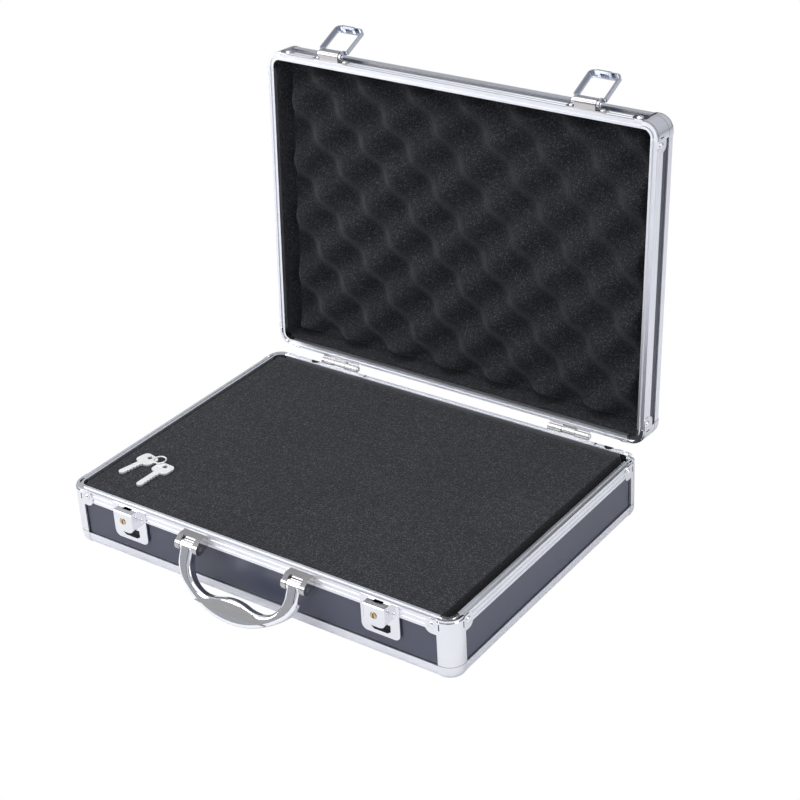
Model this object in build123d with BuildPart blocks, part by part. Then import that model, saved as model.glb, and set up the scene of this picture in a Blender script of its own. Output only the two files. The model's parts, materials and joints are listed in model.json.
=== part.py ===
"""Aluminium tool case: two framed trays on a pair of hinges, foam inside, key latches and a handle.

Units are millimetres and degrees. X runs to the right, Y to the back, Z up. The origin is the
middle of the base's flat underside. The lid and what it carries are drawn shut, where they have
to fit the base, and are then swung open about their own pins.
"""
from build123d import *
import os
from math import cos, sin, radians

os.makedirs("parts", exist_ok=True)

# Case
case_width = 350.0
case_depth = 254.0
base_height = 49.0
lid_height = 28.0
rim_gap = 0.4
lid_open_angle = 93.7

# Frame extrusions and panels
rail_thickness = 5.4
rim_rail_height = 10.0
rim_slot_depth = 4.5
edge_rail_height = 10.0
edge_rail_width = 10.0
edge_radius = 5.5
edge_web = 6.0
flange = 1.2
panel_thickness = 3.0
panel_recess = 1.2
slot_clearance = 0.1
lid_top_recess = 1.2
lip_width = 1.7
ledge_width = 1.9
channel_depth = 1.0
ledge_drop = 0.3
face_groove = 0.6
face_groove_levels = (3.2, 7.2)

# Corner fittings
corner_radius = 11.5
corner_leg = 13.5
corner_proud = 0.8
cap_height = 11.0
cap_seam = 0.3
insert_height = 3.0
shell_top_drop = 2.0
ear_reach = 22.6
ear_top_drop = 0.5
ear_bottom_drop = 12.6
ear_radius = 5.2
corner_rivet_inset = 17.2
corner_rivet_drop = 5.4

# Rivets
rivet_radius = 2.7
rivet_dome = 1.4
rivet_taper = 45.0
rivet_facets = 12
small_rivet_radius = 2.2
small_rivet_dome = 1.1

# Foam
foam_side_gap = 1.2
foam_seat_gap = 0.2
foam_top_drop = 1.3
lid_foam_drop = 6.0

# Lid hinges
hinge_spacing = 222.0
hinge_width = 36.0
hinge_offset = 4.5
hinge_leaf_thickness = 1.2
hinge_leaf_height = 9.0
hinge_leaf_setback = 0.6
knuckle_radius = 2.5
knuckle_gap = 0.35
hinge_pin_radius = 1.2
pin_clearance = 0.05
pin_head_radius = 1.9
pin_head_length = 0.8
hinge_rivet_spacing = 24.0
hinge_rivet_drop = 6.9
hinge_roll_depth = 3.8
notch_radius = 4.2
notch_depth = 2.2
left_notch_place = -133.0
right_notch_place = 149.5

# Latches
latch_spacing = 230.0
latch_plate_width = 32.6
latch_plate_drop = 29.8
latch_plate_top_drop = 1.0
latch_plate_thickness = 1.0
latch_plate_radius = 5.0
lock_box_width = 18.0
lock_box_top_drop = 1.5
lock_box_height = 17.0
lock_box_reach = 7.2
lock_box_wall = 1.3
lock_box_radius = 5.0
lock_slot_width = 8.0
lock_slot_depth = 2.4
latch_rivet_spacing = 23.8
latch_rivet_drop = 9.0
mouth_width = 16.8
mouth_foot_width = 11.0
mouth_foot_rise = 2.0
mouth_top_drop = 19.2
mouth_bottom_drop = 26.6
key_drop = 9.1
cylinder_radius = 2.8
cylinder_clearance = 0.08
cylinder_proud = 0.5
cylinder_length = 3.6
keyway_width = 0.9
keyway_length = 3.8
bolt_width = 6.0
bolt_thickness = 1.6
bolt_gap = 0.8
bolt_top_drop = 5.5
bolt_bottom_drop = 20.2

# Hasps on the lid
hasp_plate_width = 32.0
hasp_plate_rise = 8.6
hasp_plate_rest = 0.8
hasp_plate_thickness = 1.0
hasp_plate_radius = 1.5
hasp_rivet_spacing = 26.0
hasp_pin_rise = 4.9
hasp_pin_radius = 1.2
hasp_block_width = 17.5
hasp_block_radius = 3.6
hasp_open_angle = 152.0
hasp_end_gap = 0.3
loop_width = 27.0
loop_side = 3.3
loop_reach = 31.0
loop_crossbar = 4.6
loop_near_bar = 2.2
loop_near_start = 3.9
loop_thickness = 1.3
loop_flange = 1.0
loop_flange_depth = 3.4
loop_corner_radius = 4.0
loop_near_radius = 1.6
loop_window_radius = 2.0
loop_lug_thickness = 1.9
loop_lug_radius = 3.0
tongue_width = 12.0
tongue_thickness = 1.2
tongue_reach = 6.2
tongue_setback = 2.6
tongue_window_width = 7.0
tongue_window_length = 2.6

# Handle
handle_spacing = 98.0
handle_arm_width = 11.0
handle_thickness = 9.0
handle_drop = 43.5
handle_bend_start = 8.0
handle_shoulder = 24.0
handle_grip_depth = 14.5
handle_grip_bulge = 3.5
handle_waist = 23.0
handle_round = 2.6
handle_lean = 24.0
pivot_drop = 7.8
pivot_reach = 8.8
handle_boss_radius = 4.5
handle_boss_width = 11.0
handle_pin_radius = 2.0
ear_gap = 0.4
bracket_ear_thickness = 4.4
bracket_ear_radius = 4.8
bracket_top_drop = 0.8
bracket_foot_drop = 9.8
bracket_bridge = 2.2
bracket_bridge_reach = 7.5
bracket_back = 1.2
bracket_rivet_drop = 6.2
bracket_rivet_spacing = 7.0
inlay_length = 66.0
inlay_width = 8.6
inlay_depth = 0.6
inlay_proud = 0.25
inlay_clearance = 0.1
inlay_rise = 2.4
inlay_droop = 3.0

# Keys, lying on the base foam
key_thickness = 1.5
key_bow_width = 16.0
key_bow_length = 13.0
key_blade_width = 5.6
key_hole_radius = 2.0
key_bow_round = 4.0
key_rest = 0.2
key_hole_inset = 4.0
key_notches = 5
key_notch = 1.4
key_notch_pitch = 2.9
key_tip_insets = {"first": (20.8, 32.4), "second": (45.5, 25.7)}
key_bow_insets = {"first": (28.0, 64.3), "second": (46.5, 60.2)}
ring_inset = (37.0, 61.0)
ring_radius = 5.0
ring_wire = 0.6

# Sizes that follow
rim_level = base_height
lid_rim_level = base_height + rim_gap
wall_front = -case_depth / 2
wall_back = case_depth / 2
wall_left = -case_width / 2
key_tips = {name: (wall_left + x, wall_front + y) for name, (x, y) in key_tip_insets.items()}
key_bow_ends = {name: (wall_left + x, wall_front + y) for name, (x, y) in key_bow_insets.items()}
ring_place = (wall_left + ring_inset[0], wall_front + ring_inset[1])
web_thickness = panel_recess - slot_clearance
slot_inner = panel_recess + panel_thickness
hinge_axis_y = wall_back + hinge_offset
hinge_axis_z = base_height + rim_gap / 2
latch_places = {"left": -latch_spacing / 2, "right": latch_spacing / 2}
hinge_places = {"left": -hinge_spacing / 2, "right": hinge_spacing / 2}
handle_places = {"left": -handle_spacing / 2, "right": handle_spacing / 2}
sides = {
    "front": (Vector(0, -1, 0), Vector(1, 0, 0), case_depth / 2, case_width),
    "back": (Vector(0, 1, 0), Vector(-1, 0, 0), case_depth / 2, case_width),
    "left": (Vector(-1, 0, 0), Vector(0, -1, 0), case_width / 2, case_depth),
    "right": (Vector(1, 0, 0), Vector(0, 1, 0), case_width / 2, case_depth),
}


def section_plane(side):
    """Plane across a side wall: x inward from the outer face, y up from the tray's outer skin."""
    outward, along, half, _ = sides[side]
    return Plane(origin=outward * half, x_dir=-outward, z_dir=along)


def wall_plane(side):
    """Plane on a side wall's outer face: x along the wall, y up, z outward."""
    outward, along, half, _ = sides[side]
    return Plane(origin=outward * half, x_dir=along, z_dir=outward)


def turn_about(axis_y, axis_z, angle):
    """Turn about a line parallel to X; a positive angle lifts what lies in front of the line."""
    middle = Location((0, axis_y, axis_z))
    return middle * Location((0, 0, 0), (-angle, 0, 0)) * middle.inverse()


lid_swing = turn_about(hinge_axis_y, hinge_axis_z, lid_open_angle)
hasp_axis_y = wall_front - hasp_plate_thickness - hasp_block_radius
hasp_axis_z = lid_rim_level + hasp_pin_rise
hasp_swing = lid_swing * turn_about(hasp_axis_y, hasp_axis_z, hasp_open_angle)
pivot_y = wall_front - pivot_reach
pivot_z = rim_level - pivot_drop
handle_swing = turn_about(pivot_y, pivot_z, handle_lean)
# The lid tray is a base tray turned over, so that rim meets rim
lid_tray = lid_swing * Location((0, 0, lid_rim_level + lid_height), (180, 0, 0))
unmoved = Location((0, 0, 0))


def save(piece, label, place=unmoved):
    """Label a finished piece, put it where it rests and write it out."""
    piece.part.label = label
    solid = piece.part if place is unmoved else place * piece.part
    solid.label = label
    export_step(solid, f"parts/{label}.step")


def rivet_set(plane, points, radius, dome):
    """Set rivet heads seated on the plane."""
    with BuildPart() as rivets:
        with BuildSketch(plane):
            with Locations(*points):
                RegularPolygon(radius, rivet_facets)
        extrude(amount=dome, taper=rivet_taper)
    return rivets


def corner_rivet_points(side, height):
    """Where the corner fittings are riveted to one wall of a tray."""
    length = sides[side][3]
    return [(end * (length / 2 - corner_rivet_inset), height - corner_rivet_drop) for end in (-1, 1)]


def rim_rail(side, height, notches=()):
    """Rim extrusion: an upright lip, a channel and a ledge on top, and a panel slot beneath."""
    length = sides[side][3]
    foot = height - rim_rail_height
    with BuildPart() as rail:
        with BuildSketch(section_plane(side)):
            with BuildLine():
                Polyline(
                    (0, foot),
                    (web_thickness, foot),
                    (web_thickness, foot + rim_slot_depth),
                    (slot_inner + slot_clearance, foot + rim_slot_depth),
                    (slot_inner + slot_clearance, foot),
                    (rail_thickness, foot),
                    (rail_thickness, height),
                    (rail_thickness - lip_width, height),
                    (rail_thickness - lip_width, height - channel_depth),
                    (ledge_width, height - channel_depth),
                    (ledge_width, height - ledge_drop),
                    (0, height - ledge_drop),
                    close=True,
                )
            make_face()
            for level in face_groove_levels:
                with Locations((0, height - level)):
                    Rectangle(face_groove, face_groove, rotation=45, mode=Mode.SUBTRACT)
        extrude(amount=length / 2 - corner_leg, both=True)
        if notches:
            with BuildSketch(Plane.XY.offset(height)):
                with Locations(*notches):
                    Circle(notch_radius)
            extrude(amount=-notch_depth, mode=Mode.SUBTRACT)
    return rail


def edge_rail(side, recess):
    """Outer edge extrusion: rounded outside, a slot for the side panel and a seat for the skin."""
    length = sides[side][3]
    skin_top = recess + panel_thickness + slot_clearance
    with BuildPart() as rail:
        with BuildSketch(section_plane(side)):
            with BuildLine():
                outer = Polyline(
                    (0, edge_radius),
                    (0, edge_rail_height),
                    (web_thickness, edge_rail_height),
                    (web_thickness, skin_top + flange),
                    (slot_inner + slot_clearance, skin_top + flange),
                    (slot_inner + slot_clearance, edge_rail_height),
                    (slot_inner + slot_clearance + flange, edge_rail_height),
                    (slot_inner + slot_clearance + flange, skin_top + flange),
                    (edge_rail_width, skin_top + flange),
                    (edge_rail_width, skin_top),
                    (edge_web, skin_top),
                    (edge_web, 0),
                    (edge_radius, 0),
                )
                RadiusArc(outer @ 1, outer @ 0, edge_radius)
            make_face()
            if recess:
                with Locations((edge_web, 0)):
                    Rectangle(edge_rail_width - edge_web, recess - slot_clearance,
                              align=(Align.MIN, Align.MIN))
        extrude(amount=length / 2 - corner_leg, both=True)
    return rail


def side_panel(side, height, recess):
    """Laminated side panel, held in the slots of the two extrusions and the corner posts."""
    length = sides[side][3]
    low = recess + panel_thickness + flange + 2 * slot_clearance
    high = height - rim_rail_height + rim_slot_depth - slot_clearance
    with BuildPart() as panel:
        with BuildSketch(section_plane(side)):
            with Locations((panel_recess, low)):
                Rectangle(panel_thickness, high - low, align=(Align.MIN, Align.MIN))
        extrude(amount=length / 2 - corner_radius, both=True)
    return panel


def skin_panel(recess):
    """Large panel that closes the tray."""
    inset = edge_web + slot_clearance
    with BuildPart() as panel:
        with BuildSketch(Plane.XY.offset(recess)):
            RectangleRounded(case_width - 2 * inset, case_depth - 2 * inset, corner_radius - inset)
        extrude(amount=panel_thickness)
    return panel


def corner_ring(out, inset):
    """The corners of a ring that follows the case, from out beyond its face to inset behind it."""
    RectangleRounded(case_width + 2 * out, case_depth + 2 * out, corner_radius + out)
    RectangleRounded(case_width - 2 * inset, case_depth - 2 * inset, corner_radius - inset,
                     mode=Mode.SUBTRACT)
    cut_away_sides()


def cut_away_sides():
    """Leave only the four corners of a sketch of the whole case."""
    beyond = 4 * corner_leg
    Rectangle(case_width - 2 * corner_leg, case_depth + beyond, mode=Mode.SUBTRACT)
    Rectangle(case_width + beyond, case_depth - 2 * corner_leg, mode=Mode.SUBTRACT)


def panel_ends(low, high):
    """Cut room for the ends of the side panels."""
    middle = panel_recess + panel_thickness / 2
    room = panel_thickness + 2 * slot_clearance
    run_x = case_width - 2 * corner_radius + 2 * slot_clearance
    run_y = case_depth - 2 * corner_radius + 2 * slot_clearance
    with BuildSketch(Plane.XY.offset(low)) as room_outline:
        with GridLocations(0, case_depth - 2 * middle, 1, 2):
            Rectangle(run_x, room)
        with GridLocations(case_width - 2 * middle, 0, 2, 1):
            Rectangle(room, run_y)
    extrude(room_outline.sketch, amount=high - low, mode=Mode.SUBTRACT)


def corner_posts(height):
    """Upright corner fittings: a rounded post with a riveted ear lapped over each rim extrusion."""
    body_top = height - insert_height
    with BuildPart() as posts:
        with BuildSketch(Plane.XY.offset(cap_height + cap_seam)):
            corner_ring(corner_proud, rail_thickness)
        extrude(amount=body_top - cap_height - cap_seam)
        with BuildSketch(Plane.XY.offset(body_top)):
            corner_ring(corner_proud, -slot_clearance)
        extrude(amount=insert_height - shell_top_drop)
        for side in sides:
            reach = ear_reach - corner_leg + corner_proud
            middle = sides[side][3] / 2 - corner_leg + corner_proud - reach / 2
            ear_height = ear_bottom_drop - ear_top_drop
            with BuildSketch(wall_plane(side)):
                for end in (-1, 1):
                    with Locations((end * middle, height - (ear_bottom_drop + ear_top_drop) / 2)):
                        Rectangle(reach, ear_height)
                    inner_end = end * (middle - reach / 2)
                    block_x = inner_end + end * ear_radius / 2
                    with Locations((block_x, height - ear_bottom_drop + ear_radius / 2),
                                   (block_x, height - ear_top_drop - ear_radius / 2)):
                        Rectangle(ear_radius, ear_radius, mode=Mode.SUBTRACT)
                    with Locations((inner_end + end * ear_radius, height - ear_bottom_drop + ear_radius),
                                   (inner_end + end * ear_radius, height - ear_top_drop - ear_radius)):
                        Circle(ear_radius)
            extrude(amount=corner_proud)
        panel_ends(cap_height, height - rim_rail_height + rim_slot_depth)
    return posts


def corner_inserts(height):
    """Polished rim pieces that carry the lip and channel of the rim extrusions round the corners."""
    with BuildPart() as inserts:
        with BuildSketch(Plane.XY.offset(height - insert_height)):
            corner_ring(0, rail_thickness)
        extrude(amount=insert_height)
        with BuildSketch(Plane.XY.offset(height)):
            corner_ring(-ledge_width, rail_thickness - lip_width)
        extrude(amount=-channel_depth, mode=Mode.SUBTRACT)
    return inserts


def corner_caps(recess):
    """Rounded caps that close the outer corners below the posts."""
    with BuildPart() as caps:
        with BuildSketch(Plane.XY):
            RectangleRounded(case_width + 2 * corner_proud, case_depth + 2 * corner_proud,
                             corner_radius + corner_proud)
        extrude(amount=cap_height)
        fillet(caps.edges().group_by(Axis.Z)[0], edge_radius + corner_proud)
        with BuildSketch(Plane.XY):
            RectangleRounded(case_width - 2 * edge_web, case_depth - 2 * edge_web,
                             corner_radius - edge_web)
            Rectangle(case_width - 2 * corner_leg, case_depth + 4 * corner_leg)
            Rectangle(case_width + 4 * corner_leg, case_depth - 2 * corner_leg)
        extrude(amount=cap_height, mode=Mode.SUBTRACT)
        panel_ends(recess + panel_thickness + flange + slot_clearance, cap_height)
    return caps


def corner_rivets(height):
    """Domed rivets through the ears of the corner fittings."""
    with BuildPart() as rivets:
        for side in sides:
            face = wall_plane(side).offset(corner_proud)
            add(rivet_set(face, corner_rivet_points(side, height), rivet_radius, rivet_dome).part)
    return rivets


# Hinge parts, drawn with the lid shut
def knuckle_spans(which):
    """Start and length of each knuckle along the hinge: the base has the outer two."""
    share = hinge_width / 3
    outer_length = share - knuckle_gap / 2
    if which == "base":
        return [(-hinge_width / 2, outer_length), (share / 2 + knuckle_gap / 2, outer_length)]
    return [(-share / 2 + knuckle_gap / 2, share - knuckle_gap)]


def hinge_rivet_points(place, which):
    """Rivets of one hinge leaf on the back wall, as seen from behind."""
    level = rim_level - hinge_rivet_drop if which == "base" else lid_rim_level + hinge_rivet_drop
    return [(-place + offset, level) for offset in (-hinge_rivet_spacing / 2, hinge_rivet_spacing / 2)]


def hinge_leaf(place, which):
    """One leaf: a riveted plate on the back wall whose top rolls round the pin."""
    up = -1 if which == "base" else 1
    edge = rim_level if which == "base" else lid_rim_level
    with BuildPart() as leaf:
        with BuildSketch(wall_plane("back")):
            with Locations((-place, edge + up * (hinge_leaf_setback + hinge_leaf_height / 2))):
                Rectangle(hinge_width, hinge_leaf_height)
        extrude(amount=hinge_leaf_thickness)
        for start, length in knuckle_spans(which):
            face = Plane(origin=(place + start, 0, 0), x_dir=(0, 1, 0), z_dir=(1, 0, 0))
            with BuildSketch(face):
                with Locations((hinge_axis_y, hinge_axis_z)):
                    Circle(knuckle_radius)
                with BuildLine():
                    Polyline(
                        (wall_back, edge + up * hinge_leaf_setback),
                        (hinge_axis_y - pin_head_radius, hinge_axis_z),
                        (hinge_axis_y, hinge_axis_z + up * knuckle_radius),
                        (wall_back + hinge_leaf_thickness, edge + up * hinge_roll_depth),
                        (wall_back, edge + up * hinge_roll_depth),
                        close=True,
                    )
                make_face()
            extrude(amount=length)
        pin_line = Plane(origin=(place - hinge_width / 2, hinge_axis_y, hinge_axis_z), x_dir=(0, 1, 0),
                         z_dir=(1, 0, 0))
        with BuildSketch(pin_line):
            Circle(hinge_pin_radius + pin_clearance)
        extrude(amount=hinge_width, mode=Mode.SUBTRACT)
    return leaf


def hinge_pins():
    """A headed pin through the knuckles of each hinge."""
    with BuildPart() as pins:
        for place in hinge_places.values():
            start = Plane(origin=(place - hinge_width / 2, hinge_axis_y, hinge_axis_z), x_dir=(0, 1, 0),
                          z_dir=(1, 0, 0))
            with BuildSketch(start):
                Circle(hinge_pin_radius)
            extrude(amount=hinge_width)
            with BuildSketch(start, start.offset(hinge_width + pin_head_length)):
                Circle(pin_head_radius)
            extrude(amount=-pin_head_length)
    return pins


def latch_plate(place):
    """Latch base plate on the front wall, with the mouth that takes the hasp's tongue."""
    with BuildPart() as plate:
        with BuildSketch(wall_plane("front")):
            with Locations((place, rim_level - (latch_plate_drop + latch_plate_top_drop) / 2)):
                Rectangle(latch_plate_width, latch_plate_drop - latch_plate_top_drop)
            add(mouth_outline(place), mode=Mode.SUBTRACT)
        extrude(amount=latch_plate_thickness)
        lower = plate.edges().filter_by(Axis.Y).group_by(Axis.Z)[0]
        fillet(lower, latch_plate_radius)
    return plate


def mouth_outline(place):
    """Boat-shaped mouth below the lock box, wider at its top."""
    with BuildSketch(mode=Mode.PRIVATE) as mouth:
        with BuildLine():
            Polyline(
                (place - mouth_width / 2, rim_level - mouth_top_drop),
                (place + mouth_width / 2, rim_level - mouth_top_drop),
                (place + mouth_width / 2, rim_level - mouth_bottom_drop + mouth_foot_rise),
                (place + mouth_foot_width / 2, rim_level - mouth_bottom_drop),
                (place - mouth_foot_width / 2, rim_level - mouth_bottom_drop),
                (place - mouth_width / 2, rim_level - mouth_bottom_drop + mouth_foot_rise),
                close=True,
            )
        make_face()
    return mouth.sketch


def latch_rivet_points(place):
    """Rivets each side of the lock box."""
    half = latch_rivet_spacing / 2
    return [(place + offset, rim_level - latch_rivet_drop) for offset in (-half, half)]


def lock_box_outline(place, inset):
    """Front view of the lock box: square shoulders and rounded lower corners."""
    width = lock_box_width - 2 * inset
    height = lock_box_height - 2 * inset
    radius = lock_box_radius - inset
    top = rim_level - lock_box_top_drop - inset
    with BuildSketch(wall_plane("front").offset(latch_plate_thickness), mode=Mode.PRIVATE) as outline:
        with BuildLine():
            edge = Polyline(
                (place - width / 2, top - height + radius),
                (place - width / 2, top),
                (place + width / 2, top),
                (place + width / 2, top - height + radius),
            )
            RadiusArc(edge @ 1, (place + width / 2 - radius, top - height), radius)
            Line((place + width / 2 - radius, top - height), (place - width / 2 + radius, top - height))
            RadiusArc((place - width / 2 + radius, top - height), edge @ 0, radius)
        make_face()
    return outline.sketch


def lock_box(place):
    """Hollow lock housing, open at the back, with a slot on top and a way out for the bolt."""
    floor_level = rim_level - lock_box_top_drop - lock_box_height
    with BuildPart() as box:
        extrude(lock_box_outline(place, 0), amount=lock_box_reach)
        front = box.faces().sort_by(Axis.Y)[0]
        chamfer(front.edges(), lock_box_wall / 2)
        extrude(lock_box_outline(place, lock_box_wall), amount=lock_box_reach - lock_box_wall,
                mode=Mode.SUBTRACT)
        with BuildSketch(wall_plane("front").offset(lock_box_reach + latch_plate_thickness)):
            with Locations((place, rim_level - key_drop)):
                Circle(cylinder_radius + cylinder_clearance)
        extrude(amount=-lock_box_wall, mode=Mode.SUBTRACT)
        bolt_y = wall_front - latch_plate_thickness - lock_box_reach + cylinder_length - cylinder_proud
        with BuildSketch(Plane.XY.offset(floor_level)):
            with Locations((place, bolt_y + bolt_gap + bolt_thickness / 2)):
                Rectangle(bolt_width + 2 * bolt_gap, bolt_thickness + 2 * bolt_gap)
        extrude(amount=lock_box_wall, mode=Mode.SUBTRACT)
        with BuildSketch(Plane.XY.offset(rim_level - lock_box_top_drop)):
            with Locations((place, wall_front - latch_plate_thickness - lock_slot_depth / 2)):
                Rectangle(lock_slot_width, lock_slot_depth)
        extrude(amount=-lock_box_wall, mode=Mode.SUBTRACT)
    return box


def lock_cylinder(place):
    """Key cylinder with its keyway, turning in the front of the lock box."""
    face = wall_plane("front").offset(latch_plate_thickness + lock_box_reach + cylinder_proud)
    with BuildPart() as cylinder:
        with BuildSketch(face):
            with Locations((place, rim_level - key_drop)):
                Circle(cylinder_radius)
        extrude(amount=-cylinder_length)
        chamfer(cylinder.faces().sort_by(Axis.Y)[0].edges(), cylinder_proud / 2)
        with BuildSketch(face):
            with Locations((place, rim_level - key_drop)):
                Rectangle(keyway_width, keyway_length)
        extrude(amount=-cylinder_length / 2, mode=Mode.SUBTRACT)
    return cylinder


def lock_bolt(place):
    """Flat bolt that drops through the window of the hasp's tongue when the key is turned."""
    inner = latch_plate_thickness + lock_box_reach + cylinder_proud - cylinder_length - bolt_gap
    with BuildPart() as bolt:
        with BuildSketch(wall_plane("front").offset(inner)):
            with Locations((place, rim_level - (bolt_top_drop + bolt_bottom_drop) / 2)):
                Rectangle(bolt_width, bolt_bottom_drop - bolt_top_drop)
        extrude(amount=-bolt_thickness)
        chamfer(bolt.edges().filter_by(Axis.Y).group_by(Axis.Z)[0], bolt_thickness / 2)
    return bolt


# Hasp parts, drawn with the lid shut and the hasp closed
def hasp_rivet_points(place):
    """Rivets of a hasp plate on the lid's front rim, as seen from the front."""
    middle = lid_rim_level + hasp_plate_rest + hasp_plate_rise / 2
    return [(place + offset, middle) for offset in (-hasp_rivet_spacing / 2, hasp_rivet_spacing / 2)]


def hasp_plate(place):
    """Hasp base: a riveted plate with a rounded hinge block that holds the pin."""
    low = lid_rim_level + hasp_plate_rest
    with BuildPart() as plate:
        with BuildSketch(wall_plane("front")):
            with Locations((place, low + hasp_plate_rise / 2)):
                RectangleRounded(hasp_plate_width, hasp_plate_rise, hasp_plate_radius)
        extrude(amount=hasp_plate_thickness)
        start = Plane(origin=(place - hasp_block_width / 2, 0, 0), x_dir=(0, 1, 0), z_dir=(1, 0, 0))
        seat = wall_front - hasp_plate_thickness
        with BuildSketch(start):
            with Locations((hasp_axis_y, hasp_axis_z)):
                Circle(hasp_block_radius)
                Rectangle(seat - hasp_axis_y, 2 * hasp_block_radius, align=(Align.MIN, Align.CENTER))
                Circle(hasp_pin_radius + pin_clearance, mode=Mode.SUBTRACT)
        extrude(amount=hasp_block_width)
    return plate


def hasp_loop(place):
    """Sprung-steel loop: a flanged frame with two lugs on the pin and a tongue on its crossbar."""
    half = loop_width / 2
    top = hasp_axis_z - loop_near_start
    bottom = hasp_axis_z - loop_reach
    outer_face = hasp_axis_y - loop_thickness
    with BuildPart() as loop:
        frame_plane = Plane(origin=(place, outer_face, 0), x_dir=(1, 0, 0), z_dir=(0, -1, 0))
        with BuildSketch(frame_plane):
            with Locations((0, (top + bottom) / 2)):
                Rectangle(loop_width, top - bottom)
        extrude(amount=-loop_flange_depth)
        corners = loop.edges().filter_by(Axis.Y)
        fillet(corners.group_by(Axis.Z)[0], loop_corner_radius)
        fillet(loop.edges().filter_by(Axis.Y).group_by(Axis.Z)[-1], loop_near_radius)
        with BuildSketch(frame_plane.offset(-loop_thickness)):
            with Locations((0, (top + bottom) / 2 + loop_flange)):
                RectangleRounded(loop_width - 2 * loop_flange, top - bottom, loop_corner_radius - loop_flange)
        extrude(amount=-loop_flange_depth, mode=Mode.SUBTRACT)
        window_top = top - loop_near_bar
        window_bottom = bottom + loop_crossbar
        with BuildSketch(frame_plane):
            with Locations((0, (window_top + window_bottom) / 2)):
                RectangleRounded(loop_width - 2 * loop_side, window_top - window_bottom, loop_window_radius)
        extrude(amount=-loop_thickness, mode=Mode.SUBTRACT)
        tongue_plane = Plane.XY.offset(bottom + tongue_setback - tongue_thickness / 2)
        with BuildSketch(tongue_plane):
            with Locations((place, outer_face + tongue_reach / 2)):
                Rectangle(tongue_width, tongue_reach)
            bolt_middle = (wall_front - latch_plate_thickness - lock_box_reach - cylinder_proud
                           + cylinder_length + bolt_gap + bolt_thickness / 2)
            with Locations((place, bolt_middle)):
                Rectangle(tongue_window_width, tongue_window_length, mode=Mode.SUBTRACT)
        extrude(amount=tongue_thickness)
        for end in (-1, 1):
            inner = hasp_block_width / 2 + hasp_end_gap
            lug_x = place + end * inner if end > 0 else place - inner - loop_lug_thickness
            lug_plane = Plane(origin=(lug_x, 0, 0), x_dir=(0, 1, 0), z_dir=(1, 0, 0))
            with BuildSketch(lug_plane):
                with Locations((hasp_axis_y, hasp_axis_z)):
                    Circle(loop_lug_radius)
                with BuildLine():
                    Polyline(
                        (hasp_axis_y - loop_lug_radius, hasp_axis_z),
                        (hasp_axis_y + loop_lug_radius, hasp_axis_z),
                        (outer_face + loop_flange_depth, top - loop_near_bar / 2),
                        (outer_face, top - loop_near_bar / 2),
                        close=True,
                    )
                make_face()
                with Locations((hasp_axis_y, hasp_axis_z)):
                    Circle(hasp_pin_radius + pin_clearance, mode=Mode.SUBTRACT)
            extrude(amount=loop_lug_thickness)
    return loop


def hasp_pins():
    """Headed pins of the two hasps."""
    reach = hasp_block_width / 2 + hasp_end_gap + loop_lug_thickness + hasp_end_gap
    with BuildPart() as pins:
        for place in latch_places.values():
            middle = Plane(origin=(place, hasp_axis_y, hasp_axis_z), x_dir=(0, 1, 0), z_dir=(1, 0, 0))
            with BuildSketch(middle):
                Circle(hasp_pin_radius)
            extrude(amount=reach, both=True)
            for end in (-1, 1):
                head_start = reach if end > 0 else -reach - pin_head_length
                with BuildSketch(middle.offset(head_start)):
                    Circle(pin_head_radius)
                extrude(amount=pin_head_length)
    return pins


# Handle parts, drawn with the handle hanging plumb
def bracket_rivet_points(place):
    """Rivets through the back of a handle bracket."""
    level = rim_level - bracket_rivet_drop
    return [(place + offset, level) for offset in (-bracket_rivet_spacing / 2, bracket_rivet_spacing / 2)]


def handle_bracket(place):
    """Saddle bracket: two rounded ears on a back plate, bridged on top, open in front."""
    inner_half = handle_boss_width / 2 + ear_gap
    outer_half = inner_half + bracket_ear_thickness
    top = rim_level - bracket_top_drop
    foot = rim_level - bracket_foot_drop
    nose = bracket_ear_radius * cos(radians(45))
    with BuildPart() as bracket:
        for start in (place - outer_half, place + inner_half):
            with BuildSketch(Plane(origin=(start, 0, 0), x_dir=(0, 1, 0), z_dir=(1, 0, 0))):
                with Locations((pivot_y, pivot_z)):
                    Circle(bracket_ear_radius)
                with BuildLine():
                    Polyline(
                        (wall_front, top),
                        (wall_front - bracket_bridge_reach, top),
                        (pivot_y - nose, pivot_z + nose),
                        (pivot_y, pivot_z - bracket_ear_radius),
                        (wall_front, foot),
                        close=True,
                    )
                make_face()
                with Locations((pivot_y, pivot_z)):
                    Circle(handle_pin_radius + pin_clearance, mode=Mode.SUBTRACT)
            extrude(amount=bracket_ear_thickness)
        with BuildSketch(Plane(origin=(place - inner_half, 0, 0), x_dir=(0, 1, 0), z_dir=(1, 0, 0))):
            with BuildLine():
                Polyline(
                    (wall_front, top),
                    (wall_front - bracket_bridge_reach, top),
                    (wall_front - bracket_bridge_reach, top - bracket_bridge),
                    (wall_front - bracket_back, top - bracket_bridge),
                    (wall_front - bracket_back, foot),
                    (wall_front, foot),
                    close=True,
                )
            make_face()
        extrude(amount=2 * inner_half)
    return bracket


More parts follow.
